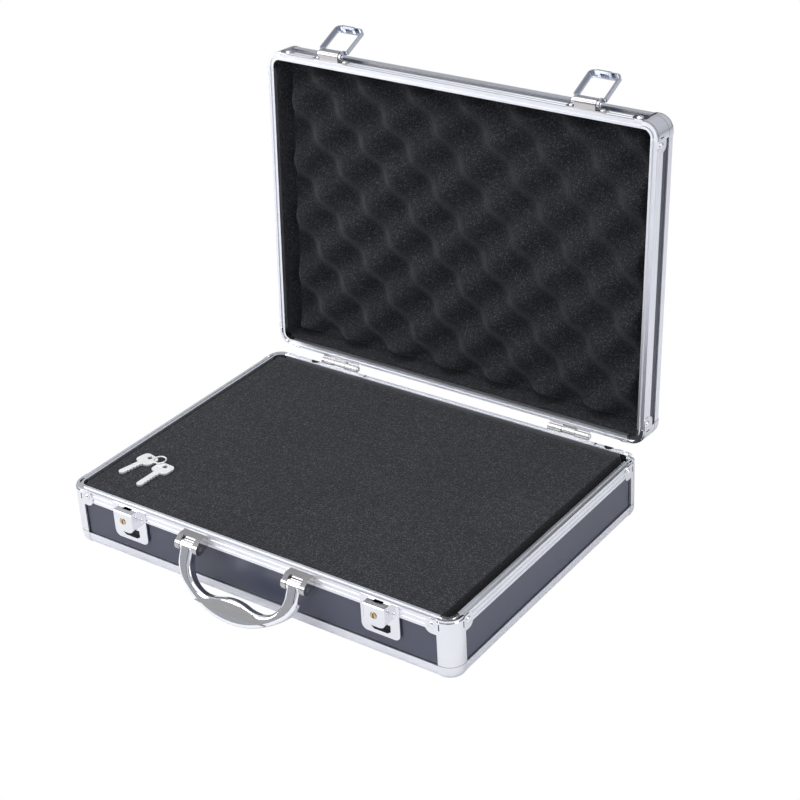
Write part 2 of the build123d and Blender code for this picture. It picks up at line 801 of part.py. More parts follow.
def handle_frame():
    """Die-cast handle: two arms that swing in the brackets and a grip with a finger bulge."""
    arm_out = handle_spacing / 2 + handle_arm_width / 2
    arm_in = handle_spacing / 2 - handle_arm_width / 2
    waist_level = handle_grip_depth - handle_drop
    depth = handle_drop - handle_bend_start
    span = arm_out - handle_shoulder
    sweep_radius = (span**2 + depth**2 - handle_shoulder**2) / (2 * (depth - handle_shoulder))
    ease = handle_shoulder / (sweep_radius - handle_shoulder)
    shoulder_end = (-span - ease * span, -handle_bend_start - ease * (sweep_radius - depth))
    handle_plane = Plane(origin=(0, pivot_y - handle_thickness / 2, pivot_z), x_dir=(1, 0, 0),
                         z_dir=(0, -1, 0))
    with BuildPart() as handle:
        with BuildSketch(handle_plane):
            with BuildLine():
                outer_side = Line((-arm_out, 0), (-arm_out, -handle_bend_start))
                outer_turn = TangentArc(outer_side @ 1, shoulder_end, tangent=outer_side % 1)
                outer_sweep = TangentArc(outer_turn @ 1, (0, -handle_drop), tangent=outer_turn % 1)
                inner_side = Line((-arm_in, 0), (-arm_in, waist_level + arm_in - handle_waist))
                inner_turn = TangentArc(inner_side @ 1, (-handle_waist, waist_level),
                                        tangent=inner_side % 1)
                bulge_start = TangentArc(inner_turn @ 1,
                                         (-handle_waist / 2, waist_level + handle_grip_bulge / 2),
                                         tangent=inner_turn % 1)
                bulge_end = TangentArc(bulge_start @ 1, (0, waist_level + handle_grip_bulge),
                                       tangent=bulge_start % 1)
                Line(outer_side @ 0, inner_side @ 0)
                Line(outer_sweep @ 1, bulge_end @ 1)
            make_face()
        extrude(amount=-handle_thickness)
        fillet(handle.edges().filter_by(GeomType.CIRCLE), handle_round)
        mirror(about=Plane.YZ)
        for place in handle_places.values():
            start = Plane(origin=(place - handle_boss_width / 2, pivot_y, pivot_z), x_dir=(0, 1, 0),
                          z_dir=(1, 0, 0))
            with BuildSketch(start):
                Circle(handle_boss_radius)
            extrude(amount=handle_boss_width)
            with BuildSketch(start):
                Circle(handle_pin_radius + pin_clearance)
            extrude(amount=handle_boss_width, mode=Mode.SUBTRACT)
        with BuildSketch(handle_plane):
            add(inlay_outline(inlay_clearance))
        extrude(amount=-inlay_depth, mode=Mode.SUBTRACT)
    return handle


def inlay_outline(growth):
    """Lens-shaped outline of the grip inlay on the front of the handle."""
    centre_level = -handle_drop + (handle_grip_depth + handle_grip_bulge) / 2 + inlay_rise
    half_length = inlay_length / 2 + growth
    half_width = inlay_width / 2 + growth
    with BuildSketch(mode=Mode.PRIVATE) as outline:
        with BuildLine():
            ThreePointArc((-half_length, centre_level - inlay_droop), (0, centre_level + half_width),
                          (half_length, centre_level - inlay_droop))
            ThreePointArc((half_length, centre_level - inlay_droop), (0, centre_level - half_width),
                          (-half_length, centre_level - inlay_droop))
        make_face()
    return outline.sketch


def grip_inlay():
    """Satin inlay let into the front of the grip."""
    plane = Plane(origin=(0, pivot_y - handle_thickness / 2 + inlay_depth, pivot_z), x_dir=(1, 0, 0),
                  z_dir=(0, -1, 0))
    with BuildPart() as inlay:
        with BuildSketch(plane):
            add(inlay_outline(0))
        extrude(amount=inlay_depth + inlay_proud)
    return inlay


def handle_pins():
    """Pins that carry the handle, flush with the brackets' ears."""
    reach = handle_boss_width / 2 + ear_gap + bracket_ear_thickness
    with BuildPart() as pins:
        for place in handle_places.values():
            middle = Plane(origin=(place, pivot_y, pivot_z), x_dir=(0, 1, 0), z_dir=(1, 0, 0))
            with BuildSketch(middle):
                Circle(handle_pin_radius)
            extrude(amount=reach, both=True)
    return pins


# Foam
def foam_outline(side_gap):
    """Plan of a foam block inside the rim."""
    inset = rail_thickness + side_gap
    return RectangleRounded(case_width - 2 * inset, case_depth - 2 * inset, corner_radius - rail_thickness)


def base_foam():
    """Flat foam block that fills the base."""
    low = panel_thickness + slot_clearance + flange + foam_seat_gap
    with BuildPart() as foam:
        with BuildSketch(Plane.XY.offset(low)):
            foam_outline(foam_side_gap)
        extrude(amount=base_height - foam_top_drop - low)
    return foam


def lid_foam():
    """Foam lining of the lid, up to the tips of its convolutions."""
    low = lid_top_recess + panel_thickness + slot_clearance + flange + foam_seat_gap
    with BuildPart() as foam:
        with BuildSketch(Plane.XY.offset(low)):
            foam_outline(foam_side_gap)
        extrude(amount=lid_height - lid_foam_drop - low)
    return foam


# Keys
def key_outline_part(tip, bow_end, level):
    """A flat key: a pierced bow and a notched blade."""
    run = Vector(*tip) - Vector(*bow_end)
    plane = Plane(origin=(bow_end[0], bow_end[1], level), x_dir=(run.X, run.Y, 0), z_dir=(0, 0, 1))
    with BuildPart() as key:
        with BuildSketch(plane):
            with Locations((key_bow_length / 2, 0)):
                RectangleRounded(key_bow_length, key_bow_width, key_bow_round)
            with Locations((key_bow_length / 2, 0)):
                Rectangle(run.length - key_bow_length / 2 - key_blade_width / 2, key_blade_width,
                          align=(Align.MIN, Align.CENTER))
            with Locations((run.length - key_blade_width / 2, 0)):
                Circle(key_blade_width / 2)
            with Locations((key_hole_inset, 0)):
                Circle(key_hole_radius, mode=Mode.SUBTRACT)
            for notch in range(key_notches):
                notch_x = run.length - key_blade_width - notch * key_notch_pitch
                with Locations((notch_x, key_blade_width / 2)):
                    Rectangle(key_notch, key_notch, rotation=45, mode=Mode.SUBTRACT)
        extrude(amount=key_thickness)
    return key


def key_ring(level):
    """Small ring resting on the two bows."""
    with BuildPart() as ring:
        with BuildSketch(Plane(origin=(ring_place[0], ring_place[1], level + ring_wire), x_dir=(1, 0, 0),
                               z_dir=(0, 1, 0))):
            with Locations((ring_radius, 0)):
                RegularPolygon(ring_wire, 6)
        revolve(axis=Axis((ring_place[0], ring_place[1], level), (0, 0, 1)))
    return ring


# Base tray
hinge_notches = [(left_notch_place, wall_back), (right_notch_place, wall_back)]
for side in sides:
    notches = hinge_notches if side == "back" else ()
    save(rim_rail(side, base_height, notches), f"base_rim_rail_{side}")
    save(side_panel(side, base_height, 0), f"base_panel_{side}")
with BuildPart() as base_edge_rails:
    for side in sides:
        add(edge_rail(side, 0).part)
save(base_edge_rails, "base_edge_rails")
save(skin_panel(0), "base_floor_panel")
save(corner_posts(base_height), "base_corner_posts")
save(corner_inserts(base_height), "base_corner_inserts")
save(corner_caps(0), "base_corner_caps")
save(corner_rivets(base_height), "base_corner_rivets")
save(base_foam(), "base_foam")

# Latches
for hand, place in latch_places.items():
    save(latch_plate(place), f"latch_plate_{hand}")
    save(lock_box(place), f"lock_box_{hand}")
    save(lock_cylinder(place), f"lock_cylinder_{hand}")
    save(lock_bolt(place), f"lock_bolt_{hand}")
latch_points = [point for place in latch_places.values() for point in latch_rivet_points(place)]
save(rivet_set(wall_plane("front").offset(latch_plate_thickness), latch_points, small_rivet_radius,
               small_rivet_dome), "latch_rivets")

# Handle
for hand, place in handle_places.items():
    save(handle_bracket(place), f"handle_bracket_{hand}")
bracket_points = [point for place in handle_places.values() for point in bracket_rivet_points(place)]
save(rivet_set(wall_plane("front").offset(bracket_back), bracket_points, small_rivet_radius,
               small_rivet_dome), "bracket_rivets")
save(handle_frame(), "handle", handle_swing)
save(grip_inlay(), "handle_inlay", handle_swing)
save(handle_pins(), "handle_pins")

# Lid tray, where front and back change places as it is turned over
opposite = {"front": "back", "back": "front", "left": "left", "right": "right"}
for side in sides:
    lid_rail = rim_rail(side, lid_height)
    save(lid_rail, f"lid_rim_rail_{opposite[side]}", lid_tray)
with BuildPart() as lid_edge_rails:
    for side in sides:
        add(edge_rail(side, lid_top_recess).part)
save(lid_edge_rails, "lid_edge_rails", lid_tray)
with BuildPart() as lid_side_panels:
    for side in sides:
        add(side_panel(side, lid_height, lid_top_recess).part)
save(lid_side_panels, "lid_side_panels", lid_tray)
save(skin_panel(lid_top_recess), "lid_top_panel", lid_tray)
save(corner_posts(lid_height), "lid_corner_posts", lid_tray)
save(corner_inserts(lid_height), "lid_corner_inserts", lid_tray)
save(corner_caps(lid_top_recess), "lid_corner_caps", lid_tray)
save(corner_rivets(lid_height), "lid_corner_rivets", lid_tray)
save(lid_foam(), "lid_foam", lid_tray)

# Hasps
for hand, place in latch_places.items():
    save(hasp_plate(place), f"hasp_plate_{hand}", lid_swing)
    save(hasp_loop(place), f"hasp_loop_{hand}", hasp_swing)
save(hasp_pins(), "hasp_pins", lid_swing)
hasp_points = [point for place in latch_places.values() for point in hasp_rivet_points(place)]
save(rivet_set(wall_plane("front").offset(hasp_plate_thickness), hasp_points, small_rivet_radius,
               small_rivet_dome), "hasp_rivets", lid_swing)

# Hinges
for hand, place in hinge_places.items():
    save(hinge_leaf(place, "base"), f"hinge_base_leaf_{hand}")
    save(hinge_leaf(place, "lid"), f"hinge_lid_leaf_{hand}", lid_swing)
save(hinge_pins(), "hinge_pins")
leaf_face = wall_plane("back").offset(hinge_leaf_thickness)
for which, swing in (("base", unmoved), ("lid", lid_swing)):
    leaf_points = [point for place in hinge_places.values() for point in hinge_rivet_points(place, which)]
    save(rivet_set(leaf_face, leaf_points, small_rivet_radius, small_rivet_dome),
         f"hinge_rivets_{which}", swing)

# Keys
key_level = base_height - foam_top_drop + key_rest
for name in key_tips:
    save(key_outline_part(key_tips[name], key_bow_ends[name], key_level), f"key_{name}")
save(key_ring(key_level + key_thickness + key_rest), "key_ring")
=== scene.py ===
"""Looks of the aluminium tool case: procedural materials, foam meshes, small details, light and camera."""
import json
import math

import bmesh
import bpy
import numpy as np
from mathutils import Matrix, Vector


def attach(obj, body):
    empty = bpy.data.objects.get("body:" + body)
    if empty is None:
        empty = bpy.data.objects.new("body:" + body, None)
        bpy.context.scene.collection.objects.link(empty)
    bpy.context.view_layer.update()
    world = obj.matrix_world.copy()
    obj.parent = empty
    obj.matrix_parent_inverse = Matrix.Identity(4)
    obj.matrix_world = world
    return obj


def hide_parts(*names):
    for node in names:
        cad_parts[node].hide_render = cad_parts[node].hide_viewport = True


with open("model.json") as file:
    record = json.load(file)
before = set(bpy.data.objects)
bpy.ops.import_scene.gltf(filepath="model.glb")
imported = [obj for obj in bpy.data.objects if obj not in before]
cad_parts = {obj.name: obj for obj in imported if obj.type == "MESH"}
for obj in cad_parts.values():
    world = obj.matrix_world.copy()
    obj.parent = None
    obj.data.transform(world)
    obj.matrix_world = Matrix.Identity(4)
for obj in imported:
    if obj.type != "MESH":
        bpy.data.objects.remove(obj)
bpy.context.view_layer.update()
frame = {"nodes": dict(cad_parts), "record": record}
nodes = frame["nodes"]

# Sizes in mm and angles in degrees
MM = 0.001
CASE_W, CASE_D, BASE_H, LID_H = 350.0, 254.0, 49.0, 28.0
RIM_GAP, RAIL = 0.4, 5.4
LID_RIM = BASE_H + RIM_GAP
HINGE_Y, HINGE_Z, LID_OPEN = 131.5, 49.2, 93.7
FOAM_INSET = RAIL + 0.15
FOAM_STEP = 1.5
HALF_X, HALF_Y = CASE_W / 2 - FOAM_INSET, CASE_D / 2 - FOAM_INSET
BASE_FOAM_TOP, BASE_WAVE, BASE_SINK = BASE_H - 1.3, 0.25, 0.2
SIDE_GAP, SIDE_GAP_SLOPE, SIDE_GAP_DEPTH = 7.5, 1.5, 7.0
EGG_X, EGG_Y, EGG_HEIGHT, EGG_WOBBLE = 47.0, 50.0, 6.8, 1.2
EGG_LEVEL, LID_WAVE = LID_H - 13.2, 0.3
MARGIN_LEVEL, MARGIN_WIDTH, MARGIN_SLOPE = LID_H - 17.5, 5.0, 6.0
LIP_LEVEL, LIP_WIDTH, LIP_SLOPE = LID_H - 3.2, 1.2, 1.5
LOCK_SPACING, POST_LEG, PANEL_RECESS = 230.0, 13.8, 1.15
MARK_LIFT = 0.03
EDGE_ANGLE = 38

# Sizes in metres, for shaders and edges
EDGE_WIDTH = 0.00018
GAP_SHADE_FROM, GAP_SHADE_TO = 0.1600, 0.1635
GRID_HALF_PITCH, GRID_LINE = 0.006, 0.00022


# Node helpers
def new_material(name):
    mat = bpy.data.materials.new(name)
    mat.use_nodes = True
    tree = mat.node_tree
    return mat, tree, tree.nodes["Principled BSDF"]


def node(tree, kind, **settings):
    made = tree.nodes.new(kind)
    for key, value in settings.items():
        setattr(made, key, value)
    return made


def link(tree, out, into):
    tree.links.new(out, into)


def maths(tree, operation, first, second):
    """A math node; each operand is a socket or a number."""
    made = node(tree, "ShaderNodeMath", operation=operation)
    for socket, value in zip(made.inputs, (first, second)):
        if isinstance(value, float):
            socket.default_value = value
        else:
            link(tree, value, socket)
    return made.outputs[0]


def mix_colour(tree, factor, first, second, blend="MIX"):
    """A colour mix; the factor and the second colour are sockets or plain values."""
    made = node(tree, "ShaderNodeMix", data_type="RGBA", blend_type=blend)
    if isinstance(factor, float):
        made.inputs["Factor"].default_value = factor
    else:
        link(tree, factor, made.inputs["Factor"])
    link(tree, first, made.inputs[6])
    if isinstance(second, tuple):
        made.inputs[7].default_value = (*second, 1)
    else:
        link(tree, second, made.inputs[7])
    return made.outputs[2]


def object_coords(tree, scale=(1, 1, 1)):
    coords = node(tree, "ShaderNodeTexCoord")
    mapping = node(tree, "ShaderNodeMapping")
    mapping.inputs["Scale"].default_value = scale
    link(tree, coords.outputs["Object"], mapping.inputs["Vector"])
    return mapping.outputs["Vector"]


def split_axes(tree, vector):
    made = node(tree, "ShaderNodeSeparateXYZ")
    link(tree, vector, made.inputs[0])
    return made.outputs


def ramp(tree, source, stops):
    made = node(tree, "ShaderNodeValToRGB")
    elements = made.color_ramp.elements
    while len(elements) < len(stops):
        elements.new(0.5)
    for element, (place, colour) in zip(elements, stops):
        element.position = place
        element.color = (*colour, 1)
    link(tree, source, made.inputs["Fac"])
    return made.outputs["Color"]


def noise(tree, vector, scale, detail=4.0, roughness=0.6):
    made = node(tree, "ShaderNodeTexNoise")
    made.inputs["Scale"].default_value = scale
    made.inputs["Detail"].default_value = detail
    made.inputs["Roughness"].default_value = roughness
    link(tree, vector, made.inputs["Vector"])
    return made.outputs["Fac"]


def cells(tree, vector, scale):
    made = node(tree, "ShaderNodeTexVoronoi")
    made.inputs["Scale"].default_value = scale
    link(tree, vector, made.inputs["Vector"])
    return made.outputs


def spread(tree, source, low, high):
    """The range 0 to 1 moved to low to high."""
    made = node(tree, "ShaderNodeMapRange")
    made.inputs["To Min"].default_value = low
    made.inputs["To Max"].default_value = high
    link(tree, source, made.inputs["Value"])
    return made.outputs["Result"]


def above(tree, source, low, high):
    """0 below low and 1 above high."""
    made = node(tree, "ShaderNodeMapRange")
    made.inputs["From Min"].default_value = low
    made.inputs["From Max"].default_value = high
    link(tree, source, made.inputs["Value"])
    return made.outputs["Result"]


def bump(tree, shader, height, distance, strength=1.0):
    made = node(tree, "ShaderNodeBump")
    made.inputs["Strength"].default_value = strength
    made.inputs["Distance"].default_value = distance
    link(tree, height, made.inputs["Height"])
    link(tree, made.outputs["Normal"], shader.inputs["Normal"])


# Metals: streaks in the roughness, faint smudges in the colour
def metal(name, colour, low_rough, high_rough, streak=(1, 1, 1), streak_scale=900.0, depth=0.00002,
          smudge=0.05, metallic=1.0):
    mat, tree, shader = new_material(name)
    shader.inputs["Metallic"].default_value = metallic
    vector = object_coords(tree)
    streaks = noise(tree, object_coords(tree, streak), streak_scale, 3.0)
    clouds = noise(tree, vector, 28.0, 5.0)
    dark = tuple(c * (1 - smudge) for c in colour)
    link(tree, ramp(tree, clouds, [(0.3, dark), (0.7, colour)]), shader.inputs["Base Color"])
    uneven = maths(tree, "MULTIPLY", streaks, spread(tree, clouds, 0.8, 1.2))
    link(tree, spread(tree, uneven, low_rough, high_rough), shader.inputs["Roughness"])
    bump(tree, shader, streaks, depth)
    return mat


ALUMINIUM = (0.90, 0.91, 0.945)
rail_x = metal("rail_aluminium_x", ALUMINIUM, 0.32, 0.50, (0.02, 1, 1), 1400.0, 0.00003)
rail_y = metal("rail_aluminium_y", ALUMINIUM, 0.30, 0.48, (1, 0.02, 1), 1400.0, 0.00003)
rail_mixed = metal("rail_aluminium", ALUMINIUM, 0.30, 0.46, (1, 1, 1), 1200.0, 0.00002)
chrome = metal("chrome_fittings", (0.86, 0.865, 0.885), 0.05, 0.16, (1, 1, 1), 500.0, 0.000008, 0.04)
warm = metal("warm_chrome", (0.56, 0.54, 0.53), 0.06, 0.18, (1, 1, 1), 400.0, 0.00001, 0.10)
hinge_metal = metal("hinge_chrome", (0.66, 0.65, 0.65), 0.12, 0.26, (1, 1, 1), 500.0, 0.00001, 0.06)
loop_metal = metal("loop_chrome", (0.60, 0.62, 0.68), 0.03, 0.12, (1, 1, 1), 400.0, 0.000006, 0.06)
cast = metal("handle_chrome", (0.95, 0.95, 0.97), 0.05, 0.14, (1, 1, 1), 300.0, 0.00001, 0.06)
brass = metal("brass_cylinder", (0.62, 0.50, 0.30), 0.15, 0.35, (1, 1, 1), 800.0, 0.00002, 0.25)
steel = metal("bolt_steel", (0.55, 0.55, 0.57), 0.25, 0.5, (1, 1, 0.05), 1500.0, 0.00003)
key_metal = metal("key_steel", (0.97, 0.97, 0.96), 0.45, 0.70, (0.1, 1, 1), 1200.0, 0.00002, 0.05, 0.75)
# Near black for dark marks, and painted shade in seams and notches
marks_and_shade = metal("dark_marks_and_painted_shade", (0.04, 0.04, 0.045), 0.5, 0.7)


def panel_sheet(name, depth):
    """Coated sheet with fine grain; depth scales its colour, and below 1 gives a darker copy with painted
    shade.
    """
    mat, tree, shader = new_material(name)
    vector = object_coords(tree)
    clouds = noise(tree, vector, 9.0, 6.0)
    low = tuple(c * depth for c in (0.042, 0.048, 0.080))
    high = tuple(c * depth for c in (0.052, 0.059, 0.096))
    link(tree, ramp(tree, clouds, [(0.3, low), (0.7, high)]), shader.inputs["Base Color"])
    grain = noise(tree, vector, 2600.0, 2.0)
    link(tree, spread(tree, clouds, 0.26, 0.34), shader.inputs["Roughness"])
    shader.inputs["Specular IOR Level"].default_value = 0.7
    bump(tree, shader, grain, 0.00004)
    return mat


# Foam: dark grain with fine glints
def side_gap_shade(tree, vector, colour):
    """The gap along the right edge of the base foam, nearly black."""
    return mix_colour(tree, above(tree, split_axes(tree, vector)[0], GAP_SHADE_FROM, GAP_SHADE_TO), colour,
                      (0.004, 0.004, 0.004))


def grid_cuts(tree, vector, colour, cut_colour):
    """Faint lines where the foam is cut into small cubes."""
    near = []
    for axis in (0, 1):
        wave = maths(tree, "PINGPONG", split_axes(tree, vector)[axis], GRID_HALF_PITCH)
        near.append(maths(tree, "LESS_THAN", wave, GRID_LINE))
    lines = maths(tree, "MAXIMUM", near[0], near[1])
    faint = maths(tree, "MULTIPLY", lines, spread(tree, noise(tree, vector, 30.0, 3.0), 0.0, 0.8))
    return mix_colour(tree, faint, colour, cut_colour)


def foam(name, dark, light, grid=False):
    mat, tree, shader = new_material(name)
    vector = object_coords(tree)
    plain = ramp(tree, noise(tree, vector, 1500.0, 3.0, 0.7), [(0.36, dark), (0.70, light)])
    pick = node(tree, "ShaderNodeSeparateColor")
    link(tree, cells(tree, vector, 1700.0)["Color"], pick.inputs[0])
    glint = tuple(c * 2.2 for c in light)
    colour = mix_colour(tree, above(tree, pick.outputs[0], 0.80, 1.0), plain, glint)
    clouds = ramp(tree, noise(tree, vector, 14.0, 5.0), [(0.3, (0.82, 0.82, 0.84)), (0.7, (1, 1, 1))])
    colour = mix_colour(tree, 1.0, colour, clouds, "MULTIPLY")
    shader.inputs["Roughness"].default_value = 0.9
    shader.inputs["Specular IOR Level"].default_value = 0.25
    shader.inputs["Sheen Weight"].default_value = 0.12
    shader.inputs["Sheen Roughness"].default_value = 0.4
    bump(tree, shader, cells(tree, vector, 700.0)["Distance"], 0.0004, 0.8)
    if grid:
        colour = side_gap_shade(tree, vector, colour)
        colour = grid_cuts(tree, vector, colour, tuple(c * 0.6 for c in dark))
    link(tree, colour, shader.inputs["Base Color"])
    return mat


def inlay_satin():
    mat, tree, shader = new_material("inlay_satin")
    grain = noise(tree, object_coords(tree, (0.05, 1, 1)), 1500.0, 3.0)
    tones = ramp(tree, grain, [(0.3, (0.30, 0.29, 0.29)), (0.7, (0.36, 0.35, 0.35))])
    link(tree, tones, shader.inputs["Base Color"])
    shader.inputs["Metallic"].default_value = 0.6
    link(tree, spread(tree, grain, 0.35, 0.5), shader.inputs["Roughness"])
    bump(tree, shader, grain, 0.00003)
    return mat


panel = panel_sheet("panel_sheet", 1.0)
# The lid's side panels: the same sheet darkened as painted shade
shaded_lid_panel = panel_sheet("shaded_lid_panel_sheet", 0.45)
base_foam_mat = foam("base_foam_black", (0.006, 0.006, 0.007), (0.052, 0.053, 0.060), grid=True)
lid_foam_mat = foam("lid_foam_black", (0.002, 0.002, 0.003), (0.036, 0.037, 0.042))
inlay = inlay_satin()

# Materials of the frame's nodes: some go by the node's name, the rest by its slot
slot_looks = {
    "chrome_fittings": chrome, "panel_sheet": panel, "brass_cylinder": brass, "inlay_satin": inlay,
    "key_steel": key_metal, "bolt_steel": steel, "base_foam_black": base_foam_mat,
    "lid_foam_black": lid_foam_mat, "rail_aluminium": rail_mixed,
}
named_looks = {
    "handle_bracket": warm, "hasp_plate": warm, "hasp_loop": loop_metal, "hinge_base_leaf": hinge_metal,
    "hinge_lid_leaf": hinge_metal, "lid_side_panels": shaded_lid_panel,
}


def look_of(name, slot):
    if name == "handle":
        return cast
    if "rim_rail" in name:
        return rail_y if name.endswith(("left", "right")) else rail_x
    for start, look in named_looks.items():
        if name.startswith(start):
            return look
    return slot_looks[slot]


def soften_edges(piece):
    edge = piece.modifiers.new("soft_edge", "BEVEL")
    edge.width = EDGE_WIDTH
    edge.segments = 2
    edge.limit_method = "ANGLE"
    edge.angle_limit = math.radians(EDGE_ANGLE)
    edge.harden_normals = True


slots = {part["node"]: part["material_slot"] for part in frame["record"]["subparts"]}
for name, piece in nodes.items():
    piece.data.materials.clear()
    piece.data.materials.append(look_of(name, slots[name]))
    if "foam" not in name:
        soften_edges(piece)


# Places on the open lid
def lid_matrix():
    turn = Matrix.Rotation(math.radians(-LID_OPEN), 4, "X")
    axis = Matrix.Translation(Vector((0, HINGE_Y, HINGE_Z)) * MM)
    return axis @ turn @ axis.inverted()


LID = lid_matrix()


def mesh_object(name, points, faces, material, smooth=True):
    mesh = bpy.data.meshes.new(name)
    mesh.from_pydata([tuple(p) for p in points], [], faces)
    mesh.update()
    made = bpy.data.objects.new(name, mesh)
    bpy.context.scene.collection.objects.link(made)
    mesh.materials.append(material)
    if smooth:
        for polygon in mesh.polygons:
            polygon.use_smooth = True
    return made


# Foam shapes
def edge_distance(gx, gy):
    """Distance from the nearest edge of the foam."""
    return np.minimum(HALF_X - np.abs(gx), HALF_Y - np.abs(gy))


def foam_block(name, surface, material, low, radius):
    """A block whose top follows surface(x, y), with rounded upper edges; sizes in mm."""
    nx, ny = int(2 * HALF_X / FOAM_STEP), int(2 * HALF_Y / FOAM_STEP)
    gx, gy = np.meshgrid(np.linspace(-HALF_X, HALF_X, nx + 1), np.linspace(-HALF_Y, HALF_Y, ny + 1))
    edge = edge_distance(gx, gy)
    round_off = radius - np.sqrt(np.maximum(radius ** 2 - (radius - edge) ** 2, 0))
    gz = surface(gx, gy) - np.where(edge < radius, round_off, 0) * 0.9
    points = [(x * MM, y * MM, z * MM) for x, y, z in zip(gx.ravel(), gy.ravel(), gz.ravel())]
    faces = []
    for j in range(ny):
        for i in range(nx):
            a = j * (nx + 1) + i
            faces.append((a, a + 1, a + nx + 2, a + nx + 1))
    ring = list(range(nx + 1)) + [(j + 1) * (nx + 1) + nx for j in range(ny)]
    ring += [ny * (nx + 1) + i for i in range(nx - 1, -1, -1)]
    ring += [j * (nx + 1) for j in range(ny - 1, 0, -1)]
    first, count = len(points), len(ring)
    points += [(points[index][0], points[index][1], low * MM) for index in ring]
    for k in range(count):
        after = (k + 1) % count
        faces.append((ring[k], first + k, first + after, ring[after]))
    faces.append(tuple(range(first, first + count))[::-1])
    return mesh_object(name, points, faces, material)


rng = np.random.default_rng(7)


def waves(gx, gy, count, low, high):
    total = np.zeros_like(gx)
    for _ in range(count):
        kx, ky = rng.uniform(low, high, 2) * rng.choice([-1, 1], 2)
        total += np.sin(kx * gx + ky * gy + rng.uniform(0, 6.28))
    return total / count


def base_surface(gx, gy):
    """A flat top with faint waves and a gap along its right edge."""
    gap = np.clip((gx - (HALF_X - SIDE_GAP)) / SIDE_GAP_SLOPE, 0, 1) * SIDE_GAP_DEPTH
    return BASE_FOAM_TOP + waves(gx, gy, 6, 0.01, 0.05) * BASE_WAVE - BASE_SINK - gap


def lid_surface(gx, gy):
    """With the lid upside down: bumps in a checker pattern, a low margin and a thin lip along the rails."""
    wobble_x = gx + waves(gx, gy, 4, 0.02, 0.06) * EGG_WOBBLE
    wobble_y = gy + waves(gx, gy, 4, 0.02, 0.06) * EGG_WOBBLE
    egg = np.sin(2 * np.pi * wobble_x / EGG_X) * np.sin(2 * np.pi * wobble_y / EGG_Y)
    bumps = EGG_LEVEL + egg * EGG_HEIGHT + waves(gx, gy, 5, 0.01, 0.04) * LID_WAVE
    edge = edge_distance(gx, gy)
    blend = np.clip((edge - MARGIN_WIDTH) / MARGIN_SLOPE, 0, 1)
    blend = blend * blend * (3 - 2 * blend)
    lip = np.clip(1.0 - (edge - LIP_WIDTH) / LIP_SLOPE, 0, 1)
    inside = MARGIN_LEVEL * (1 - blend) + bumps * blend
    return inside * (1 - lip) + LIP_LEVEL * lip


base_block = foam_block("base_foam_shape", base_surface, base_foam_mat, low=5.0, radius=3.0)
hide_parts("base_foam")
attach(base_block, "base")

lid_block = foam_block("lid_foam_shape", lid_surface, lid_foam_mat, low=5.5, radius=0.8)
lid_shut = Matrix.Translation((0, 0, (LID_RIM + LID_H) * MM)) @ Matrix.Rotation(math.pi, 4, "X")
lid_block.data.transform(LID @ lid_shut)
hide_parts("lid_foam")
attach(lid_block, "lid")


# Rivets
def islands(bm):
    """The separate heads in one mesh, each as a list of its vertices."""
    seen = set()
    for first in bm.verts:
        if first in seen:
            continue
        island, stack = [], [first]
        seen.add(first)
        while stack:
            vert = stack.pop()
            island.append(vert)
            for side in vert.link_edges:
                other = side.other_vert(vert)
                if other not in seen:
                    seen.add(other)
                    stack.append(other)
        yield island


def seat_of(island):
    """Axis, centre of the seat and radius of one head; its seat is its largest flat face."""
    flat = {}
    for vert in island:
        for face in vert.link_faces:
            key = tuple(round(c, 2) for c in face.normal)
            flat[key] = flat.get(key, 0) + face.calc_area()
    axis = -Vector(max(flat, key=flat.get)).normalized()
    middle = sum((v.co for v in island), Vector()) / len(island)
    centre = middle + axis * min((v.co - middle).dot(axis) for v in island)
    radius = max(((v.co - centre) - axis * (v.co - centre).dot(axis)).length for v in island)
    return axis, centre, radius


def rivet_domes(node_name, rise, rings=7, count=32):
    """Smooth domes in place of the plain rivet heads of one node."""
    bm = bmesh.new()
    bm.from_mesh(nodes[node_name].data)
    bm.transform(nodes[node_name].matrix_world)
    bmesh.ops.remove_doubles(bm, verts=bm.verts, dist=1e-6)
    points, faces = [], []
    for island in islands(bm):
        axis, centre, radius = seat_of(island)
        across = axis.orthogonal().normalized()
        beside = axis.cross(across)
        start = len(points)
        for ring in range(rings):
            turn = math.pi / 2 * ring / rings
            for k in range(count):
                a = 2 * math.pi * k / count
                outward = across * math.cos(a) + beside * math.sin(a)
                points.append(centre + outward * radius * math.cos(turn) + axis * rise * MM * math.sin(turn))
        points.append(centre + axis * rise * MM)
        for ring in range(rings - 1):
            low = start + ring * count
            for k in range(count):
                after = (k + 1) % count
                faces.append((low + k, low + after, low + count + after, low + count + k))
        top = start + (rings - 1) * count
        faces += [(top + k, top + (k + 1) % count, len(points) - 1) for k in range(count)]
    bm.free()
    domes = mesh_object(node_name + "_domes", points, faces, chrome)
    on_lid = node_name.startswith(("lid", "hasp")) or node_name.endswith("lid")
    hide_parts(node_name)
    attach(domes, "lid" if on_lid else "base")


for rivet_node in ("base_corner_rivets", "lid_corner_rivets"):
    rivet_domes(rivet_node, rise=1.35)
for rivet_node in ("latch_rivets", "bracket_rivets", "hasp_rivets", "hinge_rivets_base", "hinge_rivets_lid"):
    rivet_domes(rivet_node, rise=1.05)

# Dark slits and marks, and painted shade in panel seams and notches
BOX_CORNERS = (
    (-1, -1, -1), (1, -1, -1), (1, 1, -1), (-1, 1, -1),
    (-1, -1, 1), (1, -1, 1), (1, 1, 1), (-1, 1, 1),
)
BOX_FACES = ((0, 3, 2, 1), (4, 5, 6, 7), (0, 1, 5, 4), (1, 2, 6, 5), (2, 3, 7, 6), (3, 0, 4, 7))


